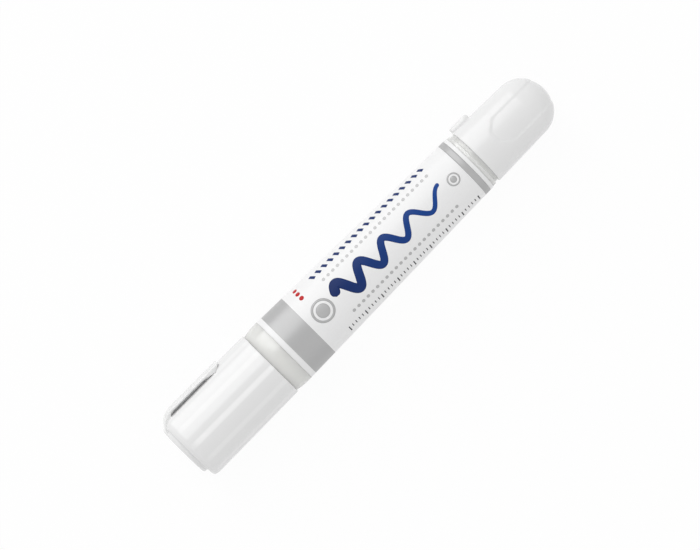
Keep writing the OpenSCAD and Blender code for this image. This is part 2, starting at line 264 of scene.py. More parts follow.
def satin_film(name, colour, roughness=0.36, silver=0.0, shine=0.5):
    """Printed film: even ink under a satin face, with the faint slackness a shrunk film keeps."""
    material, tree, shader = blank_material(name)
    place = own_place(tree)
    grain = noise(tree, place, scale=2600.0, detail=1.0)
    slack = noise(tree, place, scale=240.0, detail=2.0)
    fill(tree, shader, {
        "IOR": 1.5,
        "Roughness": roughness,
        "Metallic": silver,
        "Specular IOR Level": shine,
        "Base Color": two_tone(tree, grain, colour, low=0.97, high=1.02),
        "Normal": bumped(tree, slack, strength=0.5, depth=0.006),
    })
    return material


film_white = satin_film("film_white", (0.870, 0.870, 0.872))
film_grey = satin_film("film_silver_ink", (0.448, 0.448, 0.45), silver=0.22)
film_stations = [film_low_x, film_low_x + film_edge]
film_stations += list(np.linspace(film_low_x + film_end_len, film_high_x - film_end_len, 18))
film_stations += [film_high_x - film_edge, film_high_x]
film_ends = (film_high_x, film_low_x)
film_outline = [(film_radius(x) - (film_edge if x in film_ends else 0.0), x) for x in film_stations]
film_outline += [(film_radius(x) - film_t + film_lap, x) for x in film_ends]
film_mesh = grid_mesh("label_film", turned(film_outline, film_around), True)
piece_from("film_sleeve", film_mesh, film_white, "barrel_unit", "film", "label_film")
for name, (low, high) in (("band_broad", broad_band), ("band_narrow", narrow_band)):
    ring = [(film_radius(x) + ink_lift, x) for x in np.linspace(low, high, 6)]
    ring += [(film_radius(x) - ink_lift, x) for x in (high, low)]
    piece_from(name, grid_mesh(name, turned(ring, film_around), True), film_grey, "barrel_unit", "film")

# Print on the film
# Plain decoration in thin ink: a stroke that runs from broad to fine with the two nibs, a disc for each nib's
# width, dotted rules, a tick scale and three dots. Each mark is a thin closed skin that follows the cone.


def printed_ink(name, colour):
    """Ink with a duller face than the film's."""
    return satin_film(name, colour, roughness=0.40, shine=0.2)


ink_navy = printed_ink("ink_navy", (0.003, 0.024, 0.135))
ink_fade = printed_ink("ink_navy_to_blue", (0.003, 0.020, 0.115))
ink_red = printed_ink("ink_red", (0.56, 0.022, 0.026))
ink_black = printed_ink("ink_black", (0.020, 0.020, 0.024))


def on_film(x, s, lift):
    """Point over the film at x along the axis and s round it from the top, both in millimetres."""
    r = film_radius(x)
    turn = s / r
    return (x, -(r + lift) * math.sin(turn), (r + lift) * math.cos(turn))


def ink_skin(name, sheets, material):
    """One printed shape from sheets of (x, s) points in rows; each sheet gets a top, a back and a rim."""
    verts = []
    faces = []
    for rows, wraps in sheets:
        count = len(rows)
        width = len(rows[0])
        base = len(verts)
        for lift in (ink_lift, -ink_lift):
            verts += [tuple(Vector(on_film(x, s, lift)) * mm) for row in rows for x, s in row]
        back = base + count * width
        span = width if wraps else width - 1
        for i in range(count - 1):
            for j in range(span):
                k = (j + 1) % width
                a, b, c, d = i * width + j, i * width + k, (i + 1) * width + k, (i + 1) * width + j
                faces.append((base + a, base + b, base + c, base + d))
                faces.append((back + d, back + c, back + b, back + a))
        rims = [(i * width + j, i * width + (j + 1) % width) for i in (0, count - 1) for j in range(span)]
        if not wraps:
            rims += [(i * width + j, (i + 1) * width + j) for i in range(count - 1) for j in (0, width - 1)]
        faces += [(base + a, base + b, back + b, back + a) for a, b in rims]
    mesh = bpy.data.meshes.new(name)
    mesh.from_pydata(verts, [], faces)
    shell = bmesh.new()
    shell.from_mesh(mesh)
    bmesh.ops.remove_doubles(shell, verts=shell.verts, dist=1e-8)
    bmesh.ops.recalc_face_normals(shell, faces=shell.faces)
    shell.to_mesh(mesh)
    shell.free()
    piece_from(name, mesh, material, "barrel_unit", "film")


def disc_sheet(x, s, r_in, r_out, around=48):
    """Rows of points for a disc, or a ring where r_in is above nought."""
    radii = np.linspace(r_in, r_out, max(2, int((r_out - r_in) / 0.4) + 1))
    turns = np.linspace(0, 2 * math.pi, around, endpoint=False)
    return [[(x + r * math.cos(q), s + r * math.sin(q)) for q in turns] for r in radii], True


def lay_over(material, share, colour, blend="MIX"):
    """Lays a colour over a material's own one where the share says."""
    tree = material.node_tree
    shader = tree.nodes["Principled BSDF"]
    under = shader.inputs["Base Color"].links[0].from_socket
    coats = {"A": under, "B": (*colour, 1.0), "Factor": share}
    laid = add(tree, "ShaderNodeMix", coats, data_type="RGBA", blend_type=blend)
    fill(tree, shader, {"Base Color": laid.outputs["Result"]})


def along_x(tree):
    """How far along the axis a place is, in metres."""
    return add(tree, "ShaderNodeSeparateXYZ", {"Vector": own_place(tree)}).outputs["X"]


stroke_low = -10.6
stroke_high = 30.6
stroke_len = stroke_high - stroke_low
stroke_swings = 4.25
stroke_crowding = 1.15
stroke_swing = 3.0
swing_loss = 0.9
stroke_half = 1.45
half_loss = 0.92
stroke_end_gain = 70
stroke_rows = []
for share in np.linspace(0.0, 1.0, 280):
    swing = stroke_swing - swing_loss * share
    phase = 2 * math.pi * stroke_swings * (1 - (1 - share) ** stroke_crowding)
    rate = 2 * math.pi * stroke_swings * stroke_crowding / stroke_len
    slope = -swing * math.cos(phase) * rate * max(1e-6, 1 - share) ** (stroke_crowding - 1)
    size = math.hypot(1.0, slope)
    end = min(1.0, min(share, 1 - share) * stroke_end_gain)
    half = (stroke_half - half_loss * share) * math.sqrt(1 - (1 - end) ** 2) + 0.01
    x = stroke_low + stroke_len * share
    middle = -swing * math.sin(phase)
    stroke_rows.append([(x - slope / size * w, middle + w / size) for w in np.linspace(-half, half, 7)])
fade = {"Value": along_x(ink_fade.node_tree), "From Min": stroke_low * mm, "From Max": stroke_high * mm}
fade_share = add(ink_fade.node_tree, "ShaderNodeMapRange", fade).outputs["Result"]
lay_over(ink_fade, fade_share, (0.004, 0.055, 0.275))
ink_skin("stroke_mark", [(stroke_rows, False)], ink_fade)
ink_skin("width_discs", [disc_sheet(-15.9, 0.0, 0.0, 2.0), disc_sheet(-15.9, 0.0, 2.7, 3.4),
                         disc_sheet(34.3, 0.0, 0.0, 0.95), disc_sheet(34.3, 0.0, 1.45, 1.9)], film_grey)
ink_skin("red_dots", [disc_sheet(-17.6, s, 0.0, 0.72, 28) for s in (-11.3, -9.2, -7.1)], ink_red)


def maths(tree, operation, *given):
    """Result of one step of arithmetic."""
    return add(tree, "ShaderNodeMath", dict(enumerate(given)), operation=operation).outputs["Value"]


def new_node_tree(name, inputs):
    """Geometry tree with named inputs: the tree, their identifiers and the sockets that give their values."""
    tree = bpy.data.node_groups.new(name, "GeometryNodeTree")
    tree.interface.new_socket("Geometry", in_out="OUTPUT", socket_type="NodeSocketGeometry")
    ids = {}
    for key, kind in inputs.items():
        ids[key] = tree.interface.new_socket(key, in_out="INPUT", socket_type="NodeSocket" + kind).identifier
    return tree, ids, tree.nodes.new("NodeGroupInput").outputs


def end_node_tree(tree, geometry, material):
    """Gives the geometry its material and sends it out of the tree."""
    finish = add(tree, "GeometryNodeSetMaterial", {"Geometry": geometry, "Material": material})
    add(tree, "NodeGroupOutput", {"Geometry": finish.outputs["Geometry"]})


def printed_row_tree(material):
    """Node tree that repeats a small mark along the axis and wraps the row on to the cone of the film."""
    tree, ids, given = new_node_tree("Printed row", {
        "Count": "Int", "Pitch": "Vector", "Start": "Vector", "Bar size": "Vector", "Dot radius": "Float",
        "Dots": "Bool", "Slant": "Vector", "Cone radius": "Float", "Cone slope": "Float"})
    row = add(tree, "GeometryNodeMeshLine", {
        "Count": given["Count"], "Start Location": given["Start"], "Offset": given["Pitch"]})
    bar = add(tree, "GeometryNodeMeshCube", {"Vertices Y": 9, "Size": given["Bar size"]})
    dot = add(tree, "GeometryNodeMeshCylinder", {
        "Vertices": 20, "Depth": 2 * ink_lift * mm, "Radius": given["Dot radius"]})
    either = {"Switch": given["Dots"], "False": bar.outputs["Mesh"], "True": dot.outputs["Mesh"]}
    mark = add(tree, "GeometryNodeSwitch", either, input_type="GEOMETRY")
    repeat = add(tree, "GeometryNodeInstanceOnPoints", {
        "Points": row.outputs["Mesh"], "Instance": mark.outputs["Output"], "Rotation": given["Slant"]})
    whole = add(tree, "GeometryNodeRealizeInstances", {"Geometry": repeat.outputs["Instances"]})
    here = add(tree, "GeometryNodeInputPosition").outputs["Position"]
    flat = add(tree, "ShaderNodeSeparateXYZ", {"Vector": here}).outputs
    cone = maths(tree, "ADD", given["Cone radius"], maths(tree, "MULTIPLY", flat["X"], given["Cone slope"]))
    turn = maths(tree, "DIVIDE", flat["Y"], cone)
    reach = maths(tree, "ADD", cone, flat["Z"])
    bent = add(tree, "ShaderNodeCombineXYZ", {
        "X": flat["X"],
        "Y": maths(tree, "MULTIPLY", reach, maths(tree, "SINE", turn)),
        "Z": maths(tree, "MULTIPLY", reach, maths(tree, "COSINE", turn))})
    wrap = add(tree, "GeometryNodeSetPosition", {
        "Geometry": whole.outputs["Geometry"], "Position": bent.outputs["Vector"]})
    end_node_tree(tree, wrap.outputs["Geometry"], material)
    return tree, ids


def grown(name, tree, ids, values):
    """Plain mesh object from a node tree with its inputs set by name."""
    piece = placed(name, bpy.data.meshes.new(name))
    maker = piece.modifiers.new("Make", "NODES")
    maker.node_group = tree
    for key, value in values.items():
        maker[ids[key]] = value
    made = baked(piece, name)
    piece.modifiers.clear()
    piece.data = made
    return piece


for name, ink, count, start, pitch, bar_size, dot_r, slant in (
        ("dotted_rule_high", film_grey, 23, (-9.8, -6.3), (1.8, 0.0), None, 0.52, 0.0),
        ("dotted_rule_low", film_grey, 23, (-9.8, 6.3), (1.8, 0.0), None, 0.52, 0.0),
        ("slant_row", ink_navy, 19, (-11.6, -10.0), (2.3, 0.0), (0.95, 2.3), 0.0, 0.5),
        ("tick_scale", ink_black, 41, (-14.0, 10.0), (1.25, 0.0), (0.26, 1.3), 0.0, 0.0),
        ("tick_scale_long", ink_black, 9, (-14.0, 10.5), (6.25, 0.0), (0.34, 2.3), 0.0, 0.0),
        ("back_lines", ink_black, 7, (4.0, 25.0), (0.0, 1.9), (26.0, 0.34), 0.0, 0.0)):
    row_tree, row_ids = printed_row_tree(ink)
    size = bar_size or (0.1, 0.1)
    printed = grown(name, row_tree, row_ids, {
        "Count": count,
        "Start": (start[0] * mm, -start[1] * mm, 0.0),
        "Pitch": (pitch[0] * mm, -pitch[1] * mm, 0.0),
        "Bar size": (size[0] * mm, size[1] * mm, 2 * ink_lift * mm),
        "Dot radius": dot_r * mm,
        "Dots": bar_size is None,
        "Slant": (0.0, 0.0, slant),
        "Cone radius": film_radius(0.0) * mm,
        "Cone slope": film_slope})
    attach(printed, "barrel_unit")

# Agitator ball
# A loose steel ball, ground and polished, that stirs the paint when the marker is shaken. It lies at the
# bottom of the tube, trapped between the two holders, and stays hidden.


def steel(name, colour, roughness):
    """Bare steel with fine drawing marks in its gloss."""
    material, tree, shader = blank_material(name)
    marks = noise(tree, own_place(tree), scale=1500.0, detail=3.0)
    fill(tree, shader, {
        "Metallic": 1.0,
        "Base Color": two_tone(tree, marks, colour, low=0.85, high=1.0),
        "Roughness": ranged(tree, marks, low=roughness * 0.7, high=roughness * 1.3),
    })
    return material


ball_r = 3.0
ball_at = (-18.5, 0.0, -5.8647)
ball_steel = steel("ball_steel", (0.68, 0.69, 0.71), 0.12)
ball = bmesh.new()
bmesh.ops.create_icosphere(ball, subdivisions=5, radius=ball_r * mm,
                           matrix=Matrix.Translation(Vector(ball_at) * mm))
ball_mesh = bpy.data.meshes.new("stirring_ball")
ball.to_mesh(ball_mesh)
ball.free()
piece_from("stirring_ball", ball_mesh, ball_steel, "ball_unit", "polished_steel", "agitator_ball")

# Nib holders
# One natural polypropylene moulding at each end: a spigot pressed into the barrel, the milky collar that
# shows beside the cap, the neck the cap pushes on to, a cone, and the nose that guides the nib.
natural_thick = moulded_plastic("natural_plastic_thick", (0.778, 0.780, 0.752), 0.2, mottle=0.06,
                                skin=0.006, glow=0.7, shine=0.9)
natural_medium = moulded_plastic("natural_plastic_medium", (0.815, 0.817, 0.795), 0.17, mottle=0.05,
                                 skin=0.006, glow=0.5, shine=0.75)
thick_mouth_x = -36.13
medium_mouth_x = 43.45
plug_len = 8.0
chamber_r = 4.6
chamber_front_u = 3.1
chamber_back_u = -9.3
sleeve_r = 5.6
holder_around = 160


def shade_painted_beside_mouth(material, middle_x, reach, low):
    """Paints shade into the milky plastic's colour beside a cap's mouth, for the gap behind it that takes the
    light away.
    """
    tree = material.node_tree
    away = maths(tree, "ABSOLUTE", maths(tree, "SUBTRACT", along_x(tree), middle_x * mm))
    fall = {"Value": away, "From Max": reach * mm, "To Min": 1.0, "To Max": 0.0}
    near = add(tree, "ShaderNodeMapRange", fall, interpolation_type="SMOOTHSTEP")
    lay_over(material, near.outputs["Result"], (low, low, low), blend="MULTIPLY")


def thick_x(u):
    """Place along X of a distance from the thick cap's mouth toward its closed end."""
    return thick_mouth_x - u


def medium_x(u):
    """Place along X of a distance from the medium cap's mouth toward its closed end."""
    return medium_mouth_x + u


def holder_corners(spigot_r, collar, neck_r, neck_round, bead_u, neck_len, cone_u, nose_r, nose_u, nib_r,
                   skirt_r):
    """Corners of a holder: spigot, collar, neck with its bead, cone and nose, then back along the inside."""
    collar_u = collar[0][1]
    back_u = collar_u - plug_len
    bead_r = neck_r + 0.13
    guide_r = nib_r + 0.1
    pocket_u = neck_len - 1.6
    corners = [(spigot_r - 0.4, back_u, 0), (spigot_r, back_u + 0.8, 0.2), (spigot_r, collar_u, 0.1)]
    corners += collar
    corners += [(neck_r, 0.0, neck_round), (neck_r, bead_u - 0.6, 0.2), (bead_r, bead_u - 0.3, 0.1),
                (bead_r, bead_u + 0.3, 0.1), (neck_r, bead_u + 0.6, 0.2), (neck_r, neck_len - 0.5, 0.3),
                (neck_r - 0.5, neck_len, 0.2), (neck_r - 1.4, neck_len, 0.4)]
    corners += [(nose_r + 0.25, cone_u, 0.3), (nose_r, cone_u + 0.3, 0.2), (nose_r, nose_u - 0.4, 0.2),
                (nose_r - 0.4, nose_u, 0.1)]
    inside = [(guide_r, nose_u), (guide_r, chamber_front_u), (chamber_r, chamber_front_u),
              (chamber_r, chamber_back_u), (sleeve_r, chamber_back_u), (sleeve_r, pocket_u),
              (skirt_r, pocket_u)]
    return corners + [(r, u, 0.1) for r, u in inside] + [(skirt_r, back_u, 0)]


# Painted shade: the thick collar's colour is darkened beside the cap's mouth.
shade_painted_beside_mouth(natural_thick, middle_x=-35.95, reach=1.9, low=0.94)
collar_r = 10.6
collar_drop = 0.42
swell_len = 4.0
swell_in = 12
thick_collar = [(10.54, -5.33, 0.05), (collar_r, -5.2, 0.1), (collar_r, -swell_len, 0)]
thick_collar += [(collar_r - collar_drop * (i / swell_in) ** 2, swell_len * i / swell_in - swell_len, 0)
                 for i in range(1, swell_in)]
thick_collar += [(10.16, -0.02, 0.12)]
thick_corners = holder_corners(spigot_r=9.28, collar=thick_collar, neck_r=9.3, neck_round=0.15, bead_u=2.8,
                               neck_len=7.0, cone_u=14.0, nose_r=4.9, nose_u=19.0, nib_r=3.2, skirt_r=8.18)
thick_rows = turned([(r, thick_x(u)) for r, u in rounded(thick_corners)], holder_around)
piece_from("thick_holder", grid_mesh("thick_holder", thick_rows, True), natural_thick, "barrel_unit",
           "natural_plastic", "thick_nib_holder")

# Painted shade: the medium collar's colour is darkened beside the cap's mouth.
shade_painted_beside_mouth(natural_medium, middle_x=42.95, reach=0.95, low=0.88)
medium_collar = [(8.94, -2.35, 0.05), (9.0, -2.22, 0.1), (9.0, -1.36, 0.15), (8.85, -1.18, 0.08),
                 (8.55, -1.18, 0.08), (8.55, 0.0, 0.1)]
medium_corners = holder_corners(spigot_r=7.91, collar=medium_collar, neck_r=7.84, neck_round=0.1, bead_u=2.4,
                                neck_len=5.5, cone_u=11.0, nose_r=3.6, nose_u=14.0, nib_r=1.9, skirt_r=6.74)
medium_rows = turned([(r, medium_x(u)) for r, u in rounded(medium_corners)], holder_around)
piece_from("medium_holder", grid_mesh("medium_holder", medium_rows, True), natural_medium, "barrel_unit",
           "natural_plastic", "medium_nib_holder")

# Valves
# Each holder hides the same valve: a rubber gasket, a plastic seat, a cage with paint ports, and a stem whose
# head the spring holds shut until the nib is pressed. The turned pieces stay CAD solids with their finishes.
valve_plastic = moulded_plastic("valve_plastic", (0.78, 0.78, 0.75), 0.45)
seal_rubber = moulded_plastic("seal_rubber", (0.03, 0.03, 0.032), 0.65, mottle=0.2, skin=0.01)
for end in ("thick", "medium"):
    dress(end + "_valve_gasket", seal_rubber)
    for part in ("seat", "stem", "cage"):
        dress(end + "_valve_" + part, valve_plastic)

# Valve springs
# Compression springs wound from bare steel wire, sitting between the stem's head and the floor of the cage.
# In the marker they shorten as the nib is pressed; here each is built as one fixed coil on the barrel.
spring_head_u = -1.31
spring_foot_u = -7.49
cage_floor_u = -7.8


def wound_spring_tree(material):
    """Node tree that winds a round wire into an open spring along X."""
    tree, ids, given = new_node_tree("Wound spring", {
        "Curls": "Float", "Coil radius": "Float", "Length": "Float", "Wire radius": "Float",
        "Start": "Vector"})
    spiral = add(tree, "GeometryNodeCurveSpiral", {
        "Resolution": 28, "Rotations": given["Curls"], "Start Radius": given["Coil radius"],
        "End Radius": given["Coil radius"], "Height": given["Length"]})
    section = add(tree, "GeometryNodeCurvePrimitiveCircle", {
        "Resolution": 10, "Radius": given["Wire radius"]})
    tube = add(tree, "GeometryNodeCurveToMesh", {
        "Fill Caps": True, "Curve": spiral.outputs["Curve"], "Profile Curve": section.outputs["Curve"]})
    lay = add(tree, "GeometryNodeTransform", {
        "Rotation": (0.0, math.pi / 2, 0.0), "Geometry": tube.outputs["Mesh"], "Translation": given["Start"]})
    smooth = add(tree, "GeometryNodeSetShadeSmooth", {"Geometry": lay.outputs["Geometry"]})
    whole = add(tree, "GeometryNodeRealizeInstances", {"Geometry": smooth.outputs["Geometry"]})
    end_node_tree(tree, whole.outputs["Geometry"], material)
    return tree, ids


spring_steel = steel("spring_wire", (0.60, 0.61, 0.63), 0.28)
spring_tree, spring_ids = wound_spring_tree(spring_steel)
for end, to_x in (("thick", thick_x), ("medium", medium_x)):
    spring = grown(end + "_spring", spring_tree, spring_ids, {
        "Curls": 5.0,
        "Coil radius": 1.95 * mm,
        "Length": (spring_head_u - spring_foot_u) * mm,
        "Wire radius": 0.25 * mm,
        "Start": (min(to_x(spring_head_u), to_x(spring_foot_u)) * mm, 0.0, 0.0)})
    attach(spring, "barrel_unit")
    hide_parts(end + "_valve_spring")
    to_x(cage_floor_u) * mm
    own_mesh(spring)

# Nibs
# Pressed fibre rods that slide in the noses: the thick one is cut to a slanted chisel, the medium one is
# ground to a bullet. The fibres run along the rod and show as fine streaks.
nib_rear_u = 6.0
chisel_r = 3.2
chisel_len = 19.0
chisel_spare = 0.5
chisel_edge = 0.8
chisel_run = 3.4
chisel_slant = 1.6
chisel_round = 0.22
bullet_r = 1.9
bullet_shoulder_u = 15.4
bullet_tip_u = 18.0


def pressed_fibre(name, colour):
    """White felted fibre with streaks along the rod and a soft nap."""
    material, tree, shader = blank_material(name)
    along = add(tree, "ShaderNodeMapping", {"Vector": own_place(tree), "Scale": (260.0, 5200.0, 5200.0)})
    fibres = noise(tree, along.outputs["Vector"], scale=1.0, detail=4.0)
    fill(tree, shader, {
        "Roughness": 0.85,
        "Sheen Weight": 0.15,
        "Base Color": two_tone(tree, fibres, colour, low=0.82, high=1.0),
        "Normal": bumped(tree, fibres, strength=0.8, depth=0.04),
    })
    return material


def slice_off(shell, point, normal):
    """Cuts away what lies beyond a plane and closes the cut."""
    everything = shell.verts[:] + shell.edges[:] + shell.faces[:]
    bmesh.ops.bisect_plane(shell, geom=everything, dist=1e-8, plane_co=Vector(point) * mm, plane_no=normal,
                           clear_outer=True)
    bmesh.ops.holes_fill(shell, edges=shell.edges, sides=0)


nib_fibre = pressed_fibre("nib_fibre", (0.84, 0.83, 0.80))
rod_len = chisel_len + chisel_spare
chisel = bmesh.new()
bmesh.ops.create_cone(chisel, cap_ends=True, segments=72, radius1=chisel_r * mm, radius2=chisel_r * mm,
                      depth=rod_len * mm, matrix=Matrix.Translation((0, 0, rod_len / 2 * mm)))
for side in (-1, 1):
    slice_off(chisel, (side * chisel_edge, 0, chisel_len), (side * chisel_run, 0, chisel_r - chisel_edge))
slice_off(chisel, (0, chisel_r, chisel_len), (0, -chisel_slant, 2 * chisel_r))
bmesh.ops.recalc_face_normals(chisel, faces=chisel.faces)
creases = [e for e in chisel.edges if len(e.link_faces) == 2 and e.calc_face_angle(0) > 0.5]
bmesh.ops.bevel(chisel, geom=creases, offset=chisel_round * mm, segments=3, profile=0.5, affect="EDGES",
                clamp_overlap=True)
bmesh.ops.remove_doubles(chisel, verts=chisel.verts, dist=2e-6)
bmesh.ops.dissolve_degenerate(chisel, dist=2e-6, edges=chisel.edges)
chisel.transform(Matrix.Translation((thick_x(nib_rear_u) * mm, 0, 0)) @ Matrix.Rotation(-math.pi / 2, 4, "Y"))
chisel_mesh = bpy.data.meshes.new("chisel_nib")
chisel.to_mesh(chisel_mesh)
chisel.free()
piece_from("chisel_nib", chisel_mesh, nib_fibre, "thick_nib_unit", "fibre", "thick_nib")

bullet_nose = bullet_tip_u - bullet_shoulder_u
bullet_rod = [(0.0, nib_rear_u, 0), (bullet_r, nib_rear_u, 0.3), (bullet_r, bullet_shoulder_u, 0)]
bullet_outline = rounded(bullet_rod)
bullet_outline += [(bullet_r * math.cos(a), bullet_shoulder_u + bullet_nose * math.sin(a))
                   for a in np.linspace(0.06, math.pi / 2 - 0.05, 16)]
bullet_outline += [(0.0, bullet_tip_u)]
bullet_rows = turned([(r, medium_x(u)) for r, u in bullet_outline], 72)
piece_from("bullet_nib", grid_mesh("bullet_nib", bullet_rows, False), nib_fibre, "medium_nib_unit", "fibre",
           "medium_nib")

# Thick cap
# A glossy white moulding with a flat boss on its closed end. A strap leaves the boss, bends over the shoulder
# and runs back as the pocket clip over a flat that is sunk into the side of the cap.
cap_ribbed = moulded_plastic("cap_ribbed_plastic", (0.825, 0.825, 0.825), 0.14, mottle=0.015, skin=0.003)
thick_cap_len = 32.3
cap_mouth_r = 10.65
cap_end_r = 10.895
cap_bore_r = 9.55
cap_inner_r = 9.45
shoulder_w = 0.95
shoulder_h = 1.9
boss_r = 8.08
boss_h = 1.42
boss_round = 0.7
socket_in_r = 6.07
socket_out_r = 7.07
socket_len = 4.6
flat_off = 9.5
flat_wall = 1.25
flat_low_u = 8.5
flat_end_len = 2.6
flat_end_drop = 2.1
flat_end_off = 8.2
ramp_u = 12.1
ramp_rise = 0.69
clip_off = 11.0
clip_in = 10.25
clip_half = 4.0
clip_bend_r = 6.0
clip_soft = 0.38
cap_turn = math.radians(7.0)
rib_count = 12
rib_first = math.radians(95.5)
rib_high = 0.35
rib_low_u = 9.0
rib_fade_u = (31.5, 28.5)
slit_middle_u = 22.0
slit_half = (7.4, 0.5, 4.8)


def rib_lines_painted_highlight(material, gain, weak):
    """Paints faint pale lines into the colour over the ribs inside the cap, standing in for the highlights
    along them; one is plainer than the rest.
    """
    tree = material.node_tree
    place = own_place(tree)
    parts = add(tree, "ShaderNodeSeparateXYZ", {"Vector": place}).outputs
    angle = maths(tree, "ARCTAN2", parts["Z"], parts["Y"])
    crest = maths(tree, "COSINE", maths(tree, "MULTIPLY_ADD", angle, rib_count, -rib_count * rib_first))
    rib = add(tree, "ShaderNodeMapRange", {"Value": crest, "From Min": 0.35, "To Max": gain},
              interpolation_type="SMOOTHSTEP").outputs["Result"]
    fade_from, fade_to = [thick_x(u) * mm for u in rib_fade_u]
    ends = {"Value": parts["X"], "From Min": fade_from, "From Max": fade_to}
    wall = add(tree, "ShaderNodeMapRange", ends).outputs["Result"]
    first = maths(tree, "COMPARE", angle, rib_first, math.pi / rib_count)
    across = add(tree, "ShaderNodeVectorMath", {0: place, 1: (0.0, 1.0, 1.0)}, operation="MULTIPLY")
    reach = add(tree, "ShaderNodeVectorMath", {0: across.outputs["Vector"]}, operation="LENGTH")
    off_clip = maths(tree, "LESS_THAN", reach.outputs["Value"], (clip_off - 0.05) * mm)
    on_wall = maths(tree, "MULTIPLY", off_clip, ranged(tree, first, weak, 1.0))
    shown = maths(tree, "MULTIPLY", maths(tree, "MULTIPLY", rib, wall), on_wall)
    lay_over(material, shown, (1.0, 1.0, 1.0))


def slit_painted_shade(material, tone, roughness):
    """Paints shade into the colour inside the slit under the clip, where hardly any light gets in, and makes
    the plastic there rougher.
    """
    tree = material.node_tree
    shader = tree.nodes["Principled BSDF"]
    out = (clip_in + flat_off) / 2
    middle = (thick_x(slit_middle_u), out * math.cos(cap_turn), out * math.sin(cap_turn))
    block = add(tree, "ShaderNodeMapping", {
        "Vector": own_place(tree),
        "Location": Vector(middle) * mm,
        "Rotation": (cap_turn, 0.0, 0.0),
        "Scale": Vector(slit_half) * mm}, vector_type="TEXTURE")
    away = add(tree, "ShaderNodeVectorMath", {0: block.outputs["Vector"]}, operation="ABSOLUTE")
    parts = add(tree, "ShaderNodeSeparateXYZ", {"Vector": away.outputs["Vector"]}).outputs
    farthest = maths(tree, "MAXIMUM", maths(tree, "MAXIMUM", parts["X"], parts["Z"]), parts["Y"])
    depth = {"Value": farthest, "From Min": 1.0, "From Max": 0.8}
    deep = add(tree, "ShaderNodeMapRange", depth).outputs["Result"]
    lay_over(material, deep, (tone, tone, tone))
    polish = shader.inputs["Roughness"].links[0].from_socket
    matt = add(tree, "ShaderNodeMix", {"A": polish, "B": roughness, "Factor": deep})
    fill(tree, shader, {"Roughness": matt.outputs["Result"]})


# Painted highlight: pale lines laid into the thick cap's colour over its inner ribs.
rib_lines_painted_highlight(cap_ribbed, gain=0.72, weak=0.36)
# Painted shade: the thick cap's colour is darkened inside the slit under the clip.
slit_painted_shade(cap_ribbed, tone=0.75, roughness=0.32)


def sunk_floor(u):
    """Distance from the axis of the sunk flat, with its ramp at the clip's tip and its rounded shoulder."""
    if u < ramp_u:
        return flat_off + (ramp_u - u) * ramp_rise
    over = u - (thick_cap_len - flat_end_len)
    if over > 0:
        arc = math.sqrt(max(0.0, 1 - (over / flat_end_len) ** 2))
        return max(flat_end_off, flat_off - flat_end_drop + flat_end_drop * arc)
    return flat_off


def soft_min(a, b, k):
    """Lower of two surfaces with a small round where they meet."""
    h = np.clip(0.5 + 0.5 * (b - a) / k, 0.0, 1.0)
    return b * (1 - h) + a * h - k * h * (1 - h)


def flattened(radius, off, k):
    """Radii all round the cap, cut by a flat on the clip's side."""
    facing = np.where(lean > 0.2, off / np.maximum(lean, 0.2), 1e3)
    return soft_min(radius, facing, k)


around = 360
q = np.linspace(0.0, 2 * math.pi, around, endpoint=False)
lean = np.cos(q)
quarter = math.pi / 2
end_u = thick_cap_len
top_u = end_u + boss_h - 0.005
inner_u = end_u - 1.5
side_u = np.linspace(end_u - shoulder_h, 0.6, 130)
outer = [(r, top_u) for r in (0.0, 3.0, 6.2, 7.3)]
outer += [(boss_r - boss_round + boss_round * math.sin(a), top_u - boss_round + boss_round * math.cos(a))
          for a in np.linspace(0.0, quarter, 7)]
outer += [(8.08, end_u + 0.5), (8.11, end_u + 0.34), (8.2, end_u + 0.18), (8.36, end_u + 0.06), (8.6, end_u),
          (8.9, end_u), (9.4, end_u)]
outer += [(cap_end_r - shoulder_w + shoulder_w * math.sin(a), end_u - shoulder_h + shoulder_h * math.cos(a))
          for a in np.linspace(0.02, quarter, 14)]
outer += [(cap_mouth_r + (cap_end_r - cap_mouth_r) * u / side_u[0], u) for u in side_u[1:]]
outer += [(cap_mouth_r, 0.3), (10.62, 0.14), (10.55, 0.04), (10.44, 0.0), (10.0, 0.0), (9.72, 0.0),
          (9.62, 0.03), (9.57, 0.1), (cap_bore_r, 0.2)]
inner = [(cap_bore_r, u) for u in (1.0, 3.0, 5.0, 7.0, 7.9)] + [(9.53, 8.0), (cap_inner_r, 8.02)]
inner += [(cap_inner_r, u) for u in np.linspace(8.2, inner_u - 0.2, 24)]
inner += [(9.43, inner_u - 0.03), (9.3, inner_u), (7.2, inner_u)]
inner += [(socket_out_r, inner_u - back) for back in (0.1, 2.1, socket_len - 0.2)]
inner += [(7.0, inner_u - 4.58), (6.5, inner_u - socket_len), (6.15, inner_u - 4.58)]
inner += [(socket_in_r, inner_u - back) for back in (socket_len - 0.2, 2.1, 0.1)]
inner += [(5.9, inner_u), (3.0, inner_u), (0.0, inner_u)]
rib_shape = np.clip((np.cos(rib_count * (q + cap_turn - rib_first)) - 0.6) / 0.3, 0.0, 1.0)
cap_rows = []
for i, (r, u) in enumerate(outer + inner):
    radius = np.full(around, r)
    if i < len(outer):
        if flat_low_u < u < end_u + 0.1 and r > boss_r + 0.02:
            radius = flattened(radius, sunk_floor(u), 0.7)
    elif u > 8.05 and r > 8.0:
        radius = flattened(radius, flat_off - flat_wall, 0.3)
        if rib_low_u < u < inner_u - 0.3:
            radius = radius - rib_high * rib_shape
    cap_rows.append(np.stack([np.full(around, thick_x(u)), radius * np.cos(q + cap_turn),
                              radius * np.sin(q + cap_turn)], axis=1))
cap_mesh = grid_mesh("thick_cap", cap_rows, False)


